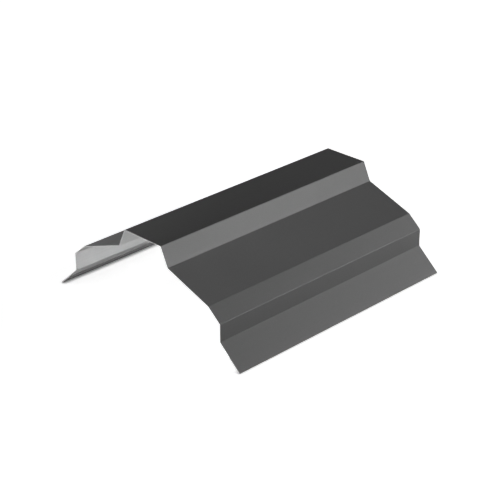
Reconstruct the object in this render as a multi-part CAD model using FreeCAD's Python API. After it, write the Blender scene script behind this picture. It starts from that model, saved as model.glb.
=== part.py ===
import FreeCAD, Part
import math
import os

# Trapezoidal roof ridge cap, folded from one strip of coated steel sheet.
# From the flat crown each side falls by a steep step, a long gentle slope and a lower slope
# to an upright wall, and ends in a flange that lies along the roof.
# The flange's edge is hemmed: folded back under itself, so that the cut edge is hidden.
# The ridge runs along Y, the crown faces +Z, and the origin is midway between the two hems,
# on the level that they stand on. All sizes are in millimetres and degrees.

# Strip
cap_length = 306.0
sheet_thickness = 0.6
bend_radius = 0.6  # inside radius of every pressed bend
hem_gap = 0.2  # clear gap between a flange and the hem folded under it

# Widths of the faces on the weather side, each measured between its two bend lines
crown_width = 55.0
step_width = 23.2
slope_width = 62.0
lower_slope_width = 21.4
wall_width = 20.0
flange_width = 36.4  # from the wall to the outside of the fold
hem_width = 19.0  # from the outside of the fold to the cut edge

# Angle of each face below the horizontal, going outwards from the crown
step_angle = 65.0
slope_angle = 20.0
lower_slope_angle = 40.5
wall_angle = 90.0
flange_angle = 41.5
hem_turn = 180.0  # the hem is folded right back under its flange

# What follows the crown on one side, from the top down: width of the face, angle of the bend
# before it (downwards is positive) and inside radius of that bend
faces = [
    (step_width, step_angle, bend_radius),
    (slope_width, slope_angle - step_angle, bend_radius),
    (lower_slope_width, lower_slope_angle - slope_angle, bend_radius),
    (wall_width, wall_angle - lower_slope_angle, bend_radius),
    (flange_width, flange_angle - wall_angle, bend_radius),
    (hem_width, hem_turn, hem_gap / 2),
]


def radius_at(depth, turn, inside_radius):
    # A skin of the sheet lies at a depth under the weather face: it is on the outside of
    # a bend that turns down and on the inside of a bend that turns up
    if turn > 0:
        return inside_radius + sheet_thickness - depth
    return inside_radius + depth


def setback(turn, inside_radius):
    # Length that a bend takes from each face beside it, on the weather face.
    # A full fold has no bend line, so its face is measured to the outside of the fold
    weather_radius = radius_at(0, turn, inside_radius)
    if abs(turn) >= hem_turn:
        return weather_radius
    return weather_radius * math.tan(math.radians(abs(turn)) / 2)


def heading(fall):
    # Along a face that falls by that angle, going outwards
    angle = math.radians(fall)
    return FreeCAD.Vector(math.cos(angle), 0, -math.sin(angle))


def inwards(fall):
    # Square to a face that falls by that angle, from its weather side into the sheet
    angle = math.radians(fall)
    return FreeCAD.Vector(-math.sin(angle), 0, -math.cos(angle))


def bend_arc(start, fall, turn, radius):
    # Arc that leaves a face of that fall without a kink, and its far end
    side = 1 if turn > 0 else -1
    centre = start + inwards(fall) * (side * radius)
    middle = centre - inwards(fall + turn / 2) * (side * radius)
    end = centre - inwards(fall + turn) * (side * radius)
    return Part.Arc(start, middle, end).toShape(), end


def crown_corner(depth):
    # End of the flat part of the crown, on the +X side
    first_bend = setback(faces[0][1], faces[0][2])
    return FreeCAD.Vector(crown_width / 2 - first_bend, 0, -depth)


def side_skin(depth):
    # Edges of one skin on the +X side, from the crown to the cut edge of the hem
    edges = []
    point = crown_corner(depth)
    fall = 0
    for number, (width, turn, inside_radius) in enumerate(faces):
        arc, point = bend_arc(point, fall, turn, radius_at(depth, turn, inside_radius))
        fall += turn
        flat = width - setback(turn, inside_radius)
        if number + 1 < len(faces):
            flat -= setback(*faces[number + 1][1:])
        end = point + heading(fall) * flat
        edges += [arc, Part.LineSegment(point, end).toShape()]
        point = end
    return edges, point


def mirrored(shape):
    return shape.mirror(FreeCAD.Vector(0, 0, 0), FreeCAD.Vector(1, 0, 0))


def crown_line(depth):
    corner = crown_corner(depth)
    return Part.LineSegment(corner, FreeCAD.Vector(-corner.x, 0, corner.z)).toShape()


def section():
    weather_skin, weather_edge = side_skin(0)
    under_skin, under_edge = side_skin(sheet_thickness)
    cut_edge = Part.LineSegment(weather_edge, under_edge).toShape()
    right = weather_skin + [cut_edge] + under_skin[::-1]
    left = [mirrored(edge) for edge in right[::-1]]
    outline = right + [crown_line(sheet_thickness)] + left + [crown_line(0)]
    return Part.Face(Part.Wire(outline))


def ridge_cap():
    profile = section()
    profile.translate(FreeCAD.Vector(0, -cap_length / 2, -profile.BoundBox.ZMin))
    return profile.extrude(FreeCAD.Vector(0, cap_length, 0))


os.makedirs("parts", exist_ok=True)
cap = ridge_cap()
cap.exportStep("parts/ridge_cap.step")
box = cap.BoundBox
print("ridge_cap", cap.ShapeType, "valid", cap.isValid(), "volume", round(cap.Volume, 2))
print("size", round(box.XLength, 2), round(box.YLength, 2), round(box.ZLength, 2), "lowest", round(box.ZMin, 6))
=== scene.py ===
import math
import bpy
import numpy as np
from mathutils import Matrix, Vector


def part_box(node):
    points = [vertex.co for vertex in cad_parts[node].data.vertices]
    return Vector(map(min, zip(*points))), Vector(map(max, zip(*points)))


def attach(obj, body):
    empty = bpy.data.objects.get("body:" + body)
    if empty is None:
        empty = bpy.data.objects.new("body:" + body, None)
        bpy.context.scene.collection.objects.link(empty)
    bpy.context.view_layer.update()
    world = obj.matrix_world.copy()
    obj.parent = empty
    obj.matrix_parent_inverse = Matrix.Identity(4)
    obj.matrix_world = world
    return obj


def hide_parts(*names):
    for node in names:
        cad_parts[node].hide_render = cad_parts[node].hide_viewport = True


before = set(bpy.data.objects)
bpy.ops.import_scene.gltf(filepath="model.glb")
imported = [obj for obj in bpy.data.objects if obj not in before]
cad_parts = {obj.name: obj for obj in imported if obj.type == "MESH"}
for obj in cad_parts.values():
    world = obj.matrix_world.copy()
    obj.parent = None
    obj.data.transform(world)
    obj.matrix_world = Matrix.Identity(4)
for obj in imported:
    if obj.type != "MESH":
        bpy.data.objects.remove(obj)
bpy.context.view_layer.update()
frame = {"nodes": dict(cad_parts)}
scene = bpy.context.scene
scene.view_settings.view_transform = "Standard"
print("frame loaded:", ", ".join(frame["nodes"]))


# small helpers for node trees

def newMaterial(name):
    material = bpy.data.materials.new(name)
    material.use_nodes = True
    tree = material.node_tree
    return material, tree, tree.nodes["Principled BSDF"]


def addNode(tree, kind, inputs=None, **settings):
    node = tree.nodes.new(kind)
    for key, value in settings.items():
        setattr(node, key, value)
    for key, value in (inputs or {}).items():
        if isinstance(value, bpy.types.NodeSocket):
            tree.links.new(value, node.inputs[key])
        else:
            node.inputs[key].default_value = value
    return node


# the folded sheet: a flat blank that is bent round its fold lines

sheetSettings = {
    "thickness": 0.0006,
    "bendRadius": 0.0006,  # inside radius of the pressed bends
    "hemGap": 0.0002,
    "crownWidth": 0.055,
    # width of each face and its fall below the level, from the crown outwards
    "faces": [(0.0232, 65), (0.062, 20), (0.0214, 40.5), (0.020, 90), (0.0364, 41.5)],
    "hemWidth": 0.019,
    "acrossStep": 0.005,  # widest mesh cell on a flat face
    "alongStep": 0.005,
    "leastFlatCells": 4,  # across the narrowest face
    "bendStep": 9,  # degrees of each mesh cell round a bend
    "leastBendCells": 3,
    "wave": 0.00006,  # how far the flat faces sink between their bends
    "waveMean": 0.5,  # share of it that is the same all along
    "waveSway": 0.25,  # share that each wave below adds or takes away
    "waves": [(31, 0.7), (53, 2.1)],  # radians a metre along the sheet, and where the wave starts
    "slantWave": (41, 0.05),  # radians a metre along the sheet, and radians from one mesh line to the next
    # sheared rim from the weather side to the back: part of the thickness, set back from the cut
    "rim": [(0.0, 0.00012), (0.04, 0.00005), (0.14, 0.00001), (0.2, 0.0),
            (0.5, 0.0), (0.58, 0.00003), (1.0, 0.00006)],
    "coatedRim": 2,  # steps of the rim that the weather coat is drawn over
    "sharpAngle": 40,
}


def outwardHeading(fall):
    return np.array([math.cos(math.radians(fall)), -math.sin(math.radians(fall))])


def intoSheet(fall):
    return np.array([-math.sin(math.radians(fall)), -math.cos(math.radians(fall))])


def sideStations(settings):
    # places along the weather side of the section, from the middle of the crown to the hem's cut edge
    # each is x, z, the fall there in degrees, the share of its flat face crossed (0 on a bend)
    # and the distance from the nearest bend
    gauge, bendRadius = settings["thickness"], settings["bendRadius"]
    hemRadius = settings["hemGap"] / 2
    halfCrown = settings["crownWidth"] / 2
    folds, fallBefore = [], 0
    for width, fall in settings["faces"]:
        folds.append((width, fall - fallBefore, bendRadius))
        fallBefore = fall
    folds.append((settings["hemWidth"], 180, hemRadius))
    stations = [(0.0, 0.0, 0.0, 0.5, halfCrown)]

    def weatherRadius(turn, inside):
        return inside + gauge if turn > 0 else inside

    def setback(turn, inside):
        # from the corner of the unrounded section to the start of the bend
        if turn == 180:
            return weatherRadius(turn, inside)
        return weatherRadius(turn, inside) * math.tan(math.radians(abs(turn)) / 2)

    def addFlat(start, fall, length, half=False):
        count = max(settings["leastFlatCells"], math.ceil(length / settings["acrossStep"]))
        for part in np.linspace(0, 1, count + 1)[1:]:
            place = start + outwardHeading(fall) * length * part
            fromBend = length * (1 - part) if half else length * min(part, 1 - part)
            stations.append((*place, fall, 0.5 + part / 2 if half else part, fromBend))
        return place

    fall = 0
    point = addFlat(np.array([0.0, 0.0]), fall, halfCrown - setback(*folds[0][1:]), half=True)
    for number, (width, turn, inside) in enumerate(folds):
        radius = weatherRadius(turn, inside) * (1 if turn > 0 else -1)
        centre = point + intoSheet(fall) * radius
        count = max(settings["leastBendCells"], round(abs(turn) / settings["bendStep"]))
        for part in np.linspace(0, 1, count + 1)[1:]:
            place = centre - intoSheet(fall + turn * part) * radius
            stations.append((*place, fall + turn * part, 0.0, 0.0))
        fall += turn
        flat = width - setback(turn, inside)
        if number + 1 < len(folds):
            flat -= setback(*folds[number + 1][1:])
        point = addFlat(place, fall, flat)
    return np.array(stations)


def sheetSection(settings):
    # whole section from the left hem to the right one: points on the weather side,
    # the way into the sheet at each, and what sideStations says about its flat face
    x, z, fall, across, fromBend = sideStations(settings).T
    inward = np.array([intoSheet(angle) for angle in fall])
    points = np.column_stack([np.concatenate([-x[:0:-1], x]), np.concatenate([z[:0:-1], z])])
    ways = np.vstack([inward[:0:-1] * (-1, 1), inward])
    across = np.concatenate([across[:0:-1], across])
    fromBend = np.concatenate([fromBend[:0:-1], fromBend])
    return points, ways, across, fromBend


def sinking(settings, along, across):
    # the flat faces sink a little between their bends, more here and less there along the length
    sway = settings["waveSway"]
    swell = settings["waveMean"]
    for rate, start in settings["waves"]:
        swell = swell + sway * np.sin(along * rate + start)
    slantRate, slantStep = settings["slantWave"]
    slant = sway * np.sin(along[:, None] * slantRate + np.arange(len(across)) * slantStep)
    return settings["wave"] * np.sin(np.pi * across) ** 2 * (swell[:, None] + slant).clip(0)


def foldedSheet(settings, node):
    low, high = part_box(node)
    points, ways, across, fromBend = sheetSection(settings)
    points[:, 1] += high.z
    gauge = settings["thickness"]
    length = high.y - low.y
    middle = (high.y + low.y) / 2
    along = np.linspace(-0.5, 0.5, round(length / settings["alongStep"]) + 1) * length
    sink = sinking(settings, along, across)
    wide, deep = len(points), len(along)
    layerCount = deep * wide
    edgeWays = np.zeros((wide, 2))  # from each hem's cut edge back along the hem
    for end, beside in ((0, 1), (-1, -2)):
        back = points[beside] - points[end]
        edgeWays[end] = back / np.linalg.norm(back)

    def layer(depth, setback):
        # the whole sheet at one depth, pulled back from all four cut edges
        place = points + ways * depth + edgeWays * setback
        reach = length / 2 - setback
        y = along.clip(-reach, reach) + middle
        grid = np.empty((deep, wide, 3))
        grid[:, :, 0] = place[:, 0] + ways[:, 0] * sink
        grid[:, :, 1] = y[:, None]
        grid[:, :, 2] = place[:, 1] + ways[:, 1] * sink
        return grid.reshape(-1, 3)

    index = np.arange(layerCount).reshape(deep, wide)
    corners = [index[:-1, :-1], index[:-1, 1:], index[1:, 1:], index[1:, :-1]]
    weatherCells = np.stack(corners, axis=-1).reshape(-1, 4)
    backCells = weatherCells[:, ::-1] + layerCount

    # border of the grid as one loop: near end, right hem, far end, left hem
    border = np.concatenate([index[0, :-1], index[:-1, -1], index[-1, :0:-1], index[:0:-1, 0]])
    layers = [layer(part * gauge, setback) for part, setback in settings["rim"]]
    rings = [one[border] for one in layers[1:-1]]
    vertices = np.vstack([layers[0], layers[-1], *rings])
    loops = [border]
    for number in range(len(rings)):
        loops.append(2 * layerCount + number * len(border) + np.arange(len(border)))
    loops.append(border + layerCount)
    rim = []
    for upper, lower in zip(loops[:-1], loops[1:]):
        rim.append(np.stack([upper, lower, np.roll(lower, -1), np.roll(upper, -1)], axis=-1))
    coated = settings["coatedRim"]
    sides = [weatherCells, backCells, np.vstack(rim[:coated]), np.vstack(rim[coated:])]
    finishes = [0, 1, 0, 2]  # weather coat, back coat, coat drawn over the rim, bare cut

    mesh = bpy.data.meshes.new("ridgeCapSheet")
    mesh.from_pydata(vertices.tolist(), [], np.vstack(sides).tolist())
    slots = np.repeat(finishes, [len(side) for side in sides])
    mesh.polygons.foreach_set("material_index", slots.astype(np.int32))
    nearest = np.tile(fromBend, deep)
    nearest = np.concatenate([nearest, nearest, *[nearest[border]] * len(rings)])
    mesh.attributes.new("fromBend", "FLOAT", "POINT").data.foreach_set("value", nearest.astype(np.float32))
    mesh.shade_smooth()
    mesh.set_sharp_from_angle(angle=math.radians(settings["sharpAngle"]))
    mesh.update()
    piece = bpy.data.objects.new("ridgeCapSheet", mesh)
    scene.collection.objects.link(piece)
    evenNormals = piece.modifiers.new("evenNormals", "WEIGHTED_NORMAL")
    evenNormals.keep_sharp = True
    return piece


# finishes

def noiseAt(tree, place, size, detail=2.0, roughness=0.5):
    # soft noise whose patches are about that size in metres
    return addNode(tree, "ShaderNodeTexNoise", {
        "Vector": place, "Scale": 1 / size, "Detail": detail, "Roughness": roughness}).outputs["Fac"]


def stretched(tree, place, share):
    # the same place with the length of the strip squeezed, so that patches draw out into lines along it
    return addNode(tree, "ShaderNodeMapping", {"Vector": place, "Scale": (1, share, 1)}).outputs[0]


def spread(tree, value, low, high, fromLow=0.3, fromHigh=0.7):
    # most of the noise lies between these two
    return addNode(tree, "ShaderNodeMapRange", {
        "Value": value, "From Min": fromLow, "From Max": fromHigh, "To Min": low, "To Max": high}).outputs[0]


def combine(tree, operation, first, second):
    return addNode(tree, "ShaderNodeMath", {0: first, 1: second}, operation=operation).outputs[0]


def raised(tree, height, depth, under=None):
    # bump of that depth in metres, on top of another one
    inputs = {"Height": height, "Distance": depth, "Strength": 1.0}
    if under is not None:
        inputs["Normal"] = under
    return addNode(tree, "ShaderNodeBump", inputs).outputs[0]


weatherCoatSettings = {
    "grey": 0.08,
    "drift": 0.04,  # share by which the grey wanders over the sheet
    "fleck": 0.08,  # share by which single specks of the matt coat differ
    "driftSize": 0.06,
    "grainSize": 0.0009,
    "grainDepth": 0.000018,
    "peelSize": 0.004,
    "peelDepth": 0.000025,
    "streakSize": 0.004,
    "streakSqueeze": 0.03,
    "roughness": (0.46, 0.54),
    "toolLine": 0.0024,  # faint burnished line beside each bend, where the folding tool pressed
    "toolLineWidth": 0.0005,
    "toolLineGloss": 0.05,
    "specular": 0.36,
}


def weatherCoat(settings):
    material, tree, shader = newMaterial("weatherCoat")
    place = addNode(tree, "ShaderNodeTexCoord").outputs["Object"]
    grain = noiseAt(tree, place, settings["grainSize"], detail=3.0, roughness=0.6)
    peel = noiseAt(tree, place, settings["peelSize"], detail=1.0)
    drawnOut = stretched(tree, place, settings["streakSqueeze"])
    streaks = noiseAt(tree, drawnOut, settings["streakSize"], detail=3.0)
    clouds = noiseAt(tree, place, settings["driftSize"])
    mottle = combine(tree, "ADD", combine(tree, "ADD", clouds, streaks), peel)
    mottle = combine(tree, "MULTIPLY", mottle, 1 / 3)  # mean of the three
    wander = spread(tree, mottle, 1 - settings["drift"], 1 + settings["drift"])
    specks = spread(tree, grain, 1 - settings["fleck"], 1 + settings["fleck"])
    grey = combine(tree, "MULTIPLY", combine(tree, "MULTIPLY", wander, specks), settings["grey"])
    tree.links.new(grey, shader.inputs["Base Color"])
    # gloss wanders with the mottle, and the tool's line beside each bend is a little smoother
    fromBend = addNode(tree, "ShaderNodeAttribute", attribute_name="fromBend").outputs["Fac"]
    line = addNode(tree, "ShaderNodeMath", {
        0: fromBend, 1: settings["toolLine"], 2: settings["toolLineWidth"]}, operation="COMPARE").outputs[0]
    gloss = combine(tree, "MULTIPLY", line, settings["toolLineGloss"])
    rough = combine(tree, "SUBTRACT", spread(tree, mottle, *settings["roughness"]), gloss)
    tree.links.new(rough, shader.inputs["Roughness"])
    skin = raised(tree, peel, settings["peelDepth"])
    tree.links.new(raised(tree, grain, settings["grainDepth"], skin), shader.inputs["Normal"])
    shader.inputs["Specular IOR Level"].default_value = settings["specular"]
    return material


backCoatSettings = {
    "grey": 0.7,
    "drift": 0.05,
    "driftSize": 0.03,
    "streakSize": 0.002,
    "streakSqueeze": 0.02,
    "thin": 0.07,  # share by which the zinc darkens the thin coat along the rolling lines
    "roughness": (0.62, 0.74),
    "grainSize": 0.0008,
    "grainDepth": 0.000008,
    "specular": 0.3,
}


def backCoat(settings):
    material, tree, shader = newMaterial("backCoat")
    place = addNode(tree, "ShaderNodeTexCoord").outputs["Object"]
    grain = noiseAt(tree, place, settings["grainSize"], detail=3.0, roughness=0.6)
    clouds = noiseAt(tree, place, settings["driftSize"], detail=3.0)
    drawnOut = stretched(tree, place, settings["streakSqueeze"])
    streaks = noiseAt(tree, drawnOut, settings["streakSize"], detail=4.0, roughness=0.6)
    wander = spread(tree, clouds, 1 - settings["drift"], 1 + settings["drift"])
    rolled = spread(tree, streaks, 1 - settings["thin"], 1.0)
    grey = combine(tree, "MULTIPLY", combine(tree, "MULTIPLY", wander, rolled), settings["grey"])
    tree.links.new(grey, shader.inputs["Base Color"])
    tree.links.new(spread(tree, clouds, *settings["roughness"]), shader.inputs["Roughness"])
    tree.links.new(raised(tree, grain, settings["grainDepth"]), shader.inputs["Normal"])
    shader.inputs["Specular IOR Level"].default_value = settings["specular"]
    return material


cutEdgeSettings = {
    "grey": (0.5, 0.68),
    "tearSize": 0.00025,
    "tearDepth": 0.00002,
    "roughness": (0.3, 0.5),
}


def cutEdge(settings):
    material, tree, shader = newMaterial("bareCutEdge")
    place = addNode(tree, "ShaderNodeTexCoord").outputs["Object"]
    tears = noiseAt(tree, place, settings["tearSize"], detail=4.0, roughness=0.65)
    tree.links.new(spread(tree, tears, *settings["grey"]), shader.inputs["Base Color"])
    tree.links.new(spread(tree, tears, *settings["roughness"]), shader.inputs["Roughness"])
    tree.links.new(raised(tree, tears, settings["tearDepth"]), shader.inputs["Normal"])
    shader.inputs["Metallic"].default_value = 1.0
    return material


sheet = foldedSheet(sheetSettings, "ridge_cap")
for finish in (weatherCoat(weatherCoatSettings), backCoat(backCoatSettings), cutEdge(cutEdgeSettings)):
    sheet.data.materials.append(finish)
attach(sheet, "root")
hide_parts("ridge_cap")
print("sheet folded:", len(sheet.data.polygons), "faces")


# floor, light and camera

floorSettings = {
    "radius": 300.0,
    "sides": 128,
    "colour": (0.9, 0.9, 0.9, 1),
    "glow": 0.88,
    "paintedShadeReach": 0.0045,  # how far the painted contact shadow, where ambient occlusion darkens the floor's glow under the flanges, spreads over the glowing floor
    "paintedShadeSamples": 4,
}


def paleFloor(settings):
    bpy.ops.mesh.primitive_circle_add(
        vertices=settings["sides"], radius=settings["radius"], fill_type="NGON")
    floor = bpy.context.object
    floor.name = "paleFloor"
    material, tree, shader = newMaterial("paleFloor")
    tree.nodes.remove(shader)
    diffuse = addNode(tree, "ShaderNodeBsdfDiffuse", {"Color": settings["colour"]}).outputs[0]
    # the floor looks white to the eye, in reflections and through glass, and its diffuse part still takes
    # the cast shadow
    rays = addNode(tree, "ShaderNodeLightPath").outputs
    seen = combine(tree, "MAXIMUM", rays["Is Camera Ray"], rays["Is Glossy Ray"])
    seen = combine(tree, "MAXIMUM", seen, rays["Is Transmission Ray"])
    # painted shadow: ambient occlusion darkens the glow close to the sheet, a contact shadow painted on the
    # floor and also seen in the hem's reflection
    paintedContactShade = addNode(tree, "ShaderNodeAmbientOcclusion", {"Distance": settings["paintedShadeReach"]},
                      samples=settings["paintedShadeSamples"]).outputs["AO"]
    strength = combine(tree, "MULTIPLY", combine(tree, "MULTIPLY", seen, paintedContactShade), settings["glow"])
    glow = addNode(tree, "ShaderNodeEmission", {"Strength": strength}).outputs[0]
    both = addNode(tree, "ShaderNodeAddShader", {0: diffuse, 1: glow}).outputs[0]
    tree.links.new(both, tree.nodes["Material Output"].inputs["Surface"])
    floor.data.materials.append(material)


# azimuth 0 is in front of the near end and 90 on the right; metres, watts and degrees
lampSettings = {
    "rightSoftLamp": {"azimuth": 132, "elevation": 20, "distance": 3.0, "size": 1.2, "power": 43.8,
                      "highlight": False},
    "leftFill": {"azimuth": 312, "elevation": 12, "distance": 4.0, "size": 1.8, "power": 50},
    "rightSheen": {"azimuth": 112, "elevation": 24, "distance": 2.5, "size": 0.8, "power": 43,
                   "wash": False},
    "backSheen": {"azimuth": 145, "elevation": 35, "distance": 2.5, "size": 0.8, "power": 12.5,
                  "wash": False},
    "slopeSheen": {"azimuth": 202, "elevation": 55, "distance": 2.5, "size": 0.8, "power": 10.8,
                   "wash": False},
    "stepSheen": {"azimuth": 122, "elevation": 8, "distance": 0.9, "size": 0.35, "power": 3.7,
                  "aim": (0, 0.13, 0.06), "wash": False},
    "farEndSheen": {"azimuth": 150, "elevation": 24, "distance": 0.9, "size": 0.35, "power": 1.29,
                    "aim": (0, 0.13, 0.06), "wash": False},
    "nearEndFill": {"azimuth": 15, "elevation": 9, "distance": 0.58, "size": 0.2, "power": 0.182,
                    "aim": (-0.13, 0, 0.035), "beam": 18, "highlight": False, "sheetOnly": True},
}


def fromAngles(azimuth, elevation):
    turn, lift = math.radians(azimuth), math.radians(elevation)
    return Vector((math.sin(turn) * math.cos(lift), -math.cos(turn) * math.cos(lift), math.sin(lift)))


def softLamp(name, azimuth, elevation, distance, size, power,
             aim=(0, 0, 0.05), beam=180, highlight=True, wash=True, sheetOnly=False):
    # highlight is its gleam in the coat, and wash the light that it throws on the surface
    lamp = bpy.data.objects.new(name, bpy.data.lights.new(name, "AREA"))
    lamp.data.shape = "DISK"
    lamp.data.size = size
    lamp.data.energy = power
    lamp.data.spread = math.radians(beam)
    lamp.visible_camera = False
    lamp.visible_glossy = highlight
    lamp.visible_diffuse = wash
    if sheetOnly:
        # it lights the inside of the sheet and leaves the floor beside it alone
        litSheet = bpy.data.collections.new("litSheet")
        litSheet.objects.link(sheet)
        lamp.light_linking.receiver_collection = litSheet
    away = fromAngles(azimuth, elevation)
    lamp.location = Vector(aim) + away * distance
    lamp.rotation_euler = away.to_track_quat("Z", "Y").to_euler()
    scene.collection.objects.link(lamp)


worldSettings = {
    "horizon": 0.75,
    "overhead": 0.055,
    "falloff": 25,  # how quickly the light backdrop fades upwards
}


def studioWorld(settings):
    world = bpy.data.worlds.new("studioWorld")
    world.use_nodes = True
    tree = world.node_tree
    way = addNode(tree, "ShaderNodeTexCoord").outputs["Generated"]
    height = addNode(tree, "ShaderNodeSeparateXYZ", {0: way}).outputs["Z"]
    low = combine(tree, "SUBTRACT", 1.0, combine(tree, "MAXIMUM", height, 0.0))
    fade = combine(tree, "POWER", low, settings["falloff"])
    level = spread(tree, fade, settings["overhead"], settings["horizon"], fromLow=0.0, fromHigh=1.0)
    tree.links.new(level, tree.nodes["Background"].inputs["Strength"])
    tree.nodes["Background"].inputs["Color"].default_value = (1, 1, 1, 1)
    scene.world = world


cameraSettings = {
    "azimuth": 45.19,
    "elevation": 26.18,
    "roll": -0.216,
    "distance": 1.66628,
    "aim": (-0.00952, 0.00898, 0.02745),
    "lens": 109.19,
    "sensor": 36,
    "nearest": 0.01,
    "farthest": 1000,
}


def photoCamera(settings):
    camera = bpy.data.objects.new("photoCamera", bpy.data.cameras.new("photoCamera"))
    camera.data.lens = settings["lens"]
    camera.data.sensor_width = settings["sensor"]
    camera.data.clip_start = settings["nearest"]
    camera.data.clip_end = settings["farthest"]
    back = fromAngles(settings["azimuth"], settings["elevation"])
    facing = back.to_track_quat("Z", "Y").to_matrix().to_4x4()
    facing.translation = Vector(settings["aim"]) + back * settings["distance"]
    camera.matrix_world = facing
    camera.rotation_euler.rotate_axis("Z", math.radians(settings["roll"]))
    scene.collection.objects.link(camera)
    scene.camera = camera


paleFloor(floorSettings)
studioWorld(worldSettings)
for name, values in lampSettings.items():
    softLamp(name, **values)
photoCamera(cameraSettings)
print("stage set:", len(lampSettings), "lamps")
